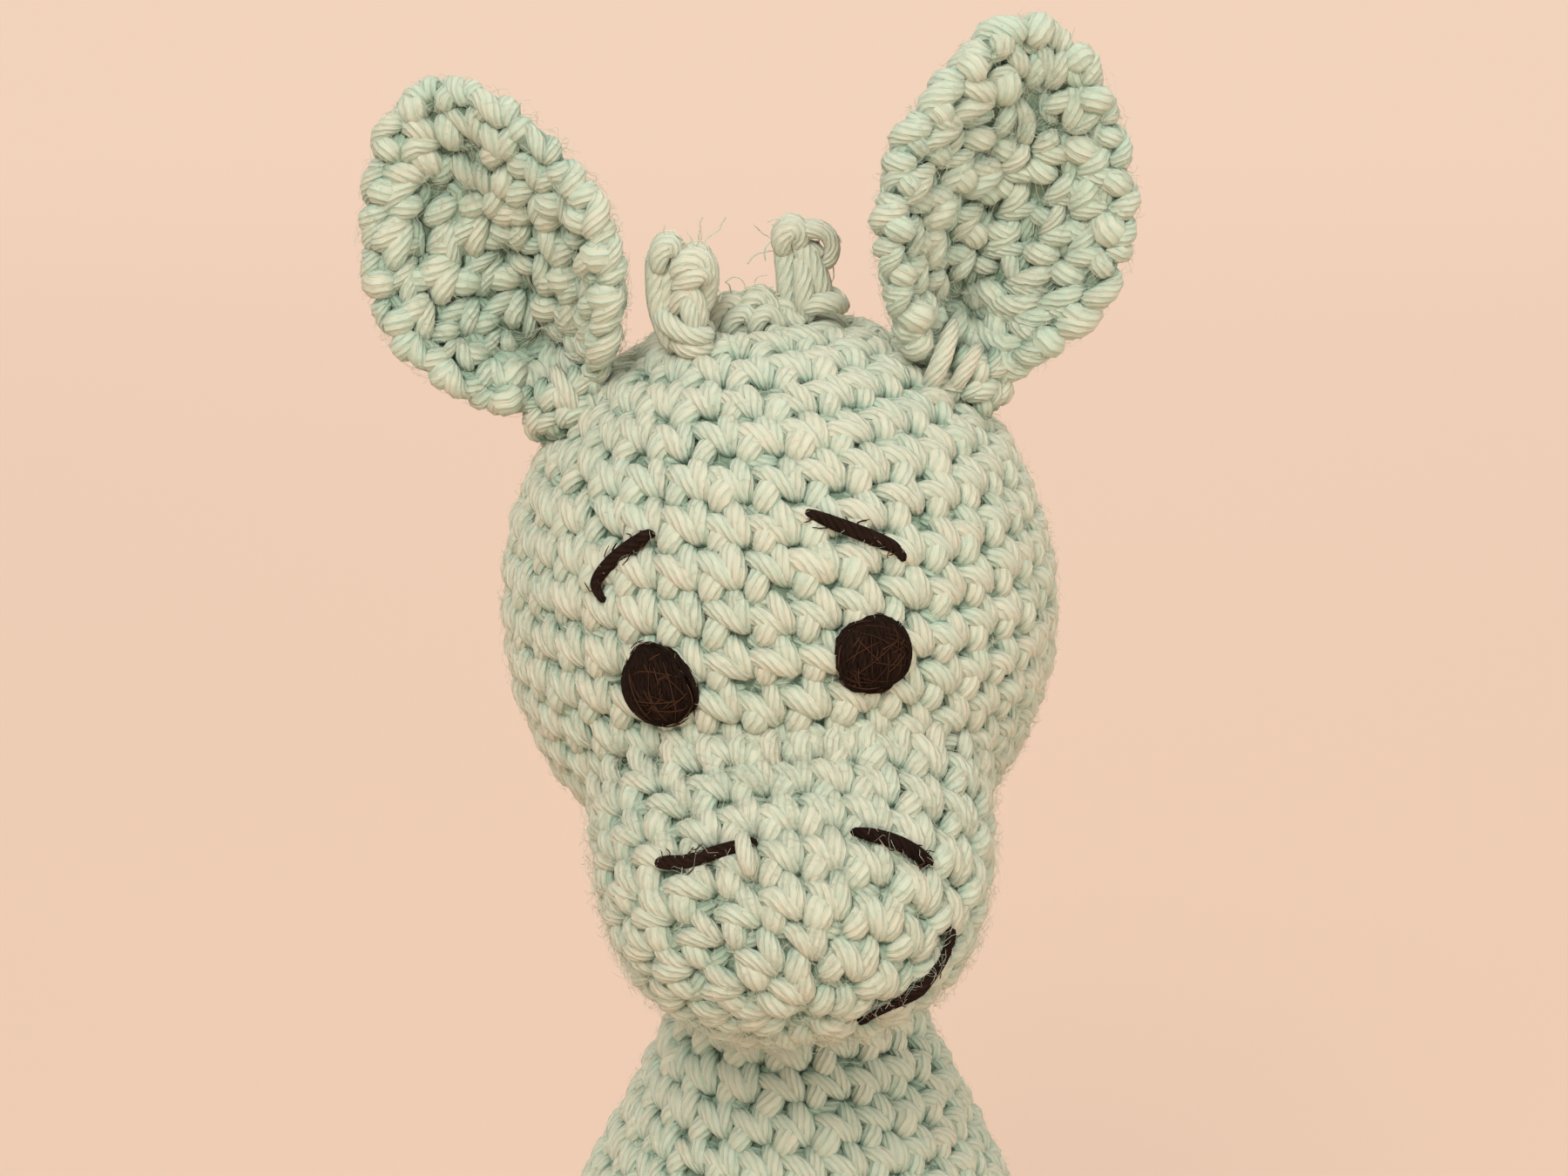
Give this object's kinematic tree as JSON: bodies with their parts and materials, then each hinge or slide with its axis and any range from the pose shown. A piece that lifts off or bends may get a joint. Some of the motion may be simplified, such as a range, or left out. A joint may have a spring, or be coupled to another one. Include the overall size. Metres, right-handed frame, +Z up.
{
  "type": "crocheted animal doll",
  "caption": "Seated crocheted giraffe doll in mint cotton with a tilted stuffed head, wide muzzle, cupped ears, short horns, hanging arms, forward legs and a tail.",
  "frame": {"origin": "middle of the flat seat, on the surface the doll sits on", "axes": "+Z up, the face looks along -Y, +X is to the right of someone who faces the doll"},
  "size_m": [0.1234, 0.1491, 0.2353],
  "materials": {
    "mint_cotton": "matte crocheted cotton",
    "mint_chain": "matte plied cotton yarn",
    "sewing_yarn": "matte plied cotton yarn",
    "black_yarn": "matte plied yarn with a little fuzz",
    "fibre_filling": "loose matte fibre"
  },
  "bodies": {
    "trunk": {"trunk_shell": "mint_cotton", "trunk_filling": "fibre_filling", "left_arm_seam": "sewing_yarn", "right_arm_seam": "sewing_yarn", "left_leg_seam": "sewing_yarn", "right_leg_seam": "sewing_yarn", "tail_seam": "sewing_yarn"},
    "neck_sewing": {"neck_seam": "sewing_yarn"},
    "neck_core": {"neck_wad": "fibre_filling"},
    "head": {"head_shell": "mint_cotton", "head_filling": "fibre_filling", "muzzle_shell": "mint_cotton", "muzzle_seam": "sewing_yarn", "muzzle_filling": "fibre_filling", "left_eyebrow": "black_yarn", "right_eyebrow": "black_yarn", "left_nostril": "black_yarn", "right_nostril": "black_yarn", "mouth": "black_yarn", "left_eye": "black_yarn", "right_eye": "black_yarn", "left_horn": "mint_chain", "right_horn": "mint_chain", "left_ear_seam": "sewing_yarn", "right_ear_seam": "sewing_yarn"},
    "left_ear": {"left_ear": "mint_cotton"},
    "right_ear": {"right_ear": "mint_cotton"},
    "left_arm": {"left_arm_shell": "mint_cotton", "left_arm_filling": "fibre_filling"},
    "right_arm": {"right_arm_shell": "mint_cotton", "right_arm_filling": "fibre_filling"},
    "left_leg": {"left_leg_shell": "mint_cotton", "left_leg_filling": "fibre_filling"},
    "right_leg": {"right_leg_shell": "mint_cotton", "right_leg_filling": "fibre_filling"},
    "tail": {"tail_cord": "mint_chain", "tail_tassel": "mint_chain"}
  },
  "joints": [
    {"name": "neck_tilt", "type": "hinge", "parent": "trunk", "child": "neck_sewing", "pos_m": [0.0004, 0, 0.11795], "axis": [0, 1, 0], "range_deg": [-6, 10], "stiffness_Nm_per_rad": 0.6, "deforming": ["neck_seam"]},
    {"name": "neck_nod", "type": "hinge", "parent": "neck_sewing", "child": "neck_core", "pos_m": [0.0004, 0, 0.11795], "axis": [1, 0, 0], "range_deg": [-9, 9], "stiffness_Nm_per_rad": 0.6, "deforming": ["neck_wad"]},
    {"name": "head_turn", "type": "hinge", "parent": "neck_core", "child": "head", "pos_m": [0.0004, 0, 0.11795], "axis": [-0.0698, 0, 0.9976], "range_deg": [-25, 25], "stiffness_Nm_per_rad": 0.3},
    {"name": "left_ear_bend", "type": "hinge", "parent": "head", "child": "left_ear", "pos_m": [-0.02966, 0.00043, 0.18668], "axis": [0.8932, -0.2419, 0.3791], "range_deg": [-15, 15], "stiffness_Nm_per_rad": 0.05, "deforming": ["left_ear_seam"]},
    {"name": "right_ear_bend", "type": "hinge", "parent": "head", "child": "right_ear", "pos_m": [0.0206, 0.00043, 0.19019], "axis": [0.9508, 0.2419, -0.1934], "range_deg": [-15, 15], "stiffness_Nm_per_rad": 0.05, "deforming": ["right_ear_seam"]},
    {"name": "left_shoulder", "type": "hinge", "parent": "trunk", "child": "left_arm", "pos_m": [-0.03921, 0, 0.064], "axis": [0, 1, 0], "range_deg": [0, 100], "deforming": ["left_arm_seam"]},
    {"name": "right_shoulder", "type": "hinge", "parent": "trunk", "child": "right_arm", "pos_m": [0.03921, 0, 0.064], "axis": [0, -1, 0], "range_deg": [0, 100], "deforming": ["right_arm_seam"]},
    {"name": "left_hip", "type": "hinge", "parent": "trunk", "child": "left_leg", "pos_m": [-0.01843, -0.04139, 0.013], "axis": [0.9135, -0.4067, 0], "range_deg": [-45, 75], "deforming": ["left_leg_seam"]},
    {"name": "right_hip", "type": "hinge", "parent": "trunk", "child": "right_leg", "pos_m": [0.01843, -0.04139, 0.013], "axis": [0.9135, 0.4067, 0], "range_deg": [-45, 75], "deforming": ["right_leg_seam"]},
    {"name": "tail_swing", "type": "hinge", "parent": "trunk", "child": "tail", "pos_m": [0, 0.04421, 0.05], "axis": [1, 0, 0], "range_deg": [0, 75], "deforming": ["tail_seam"]}
  ]
}
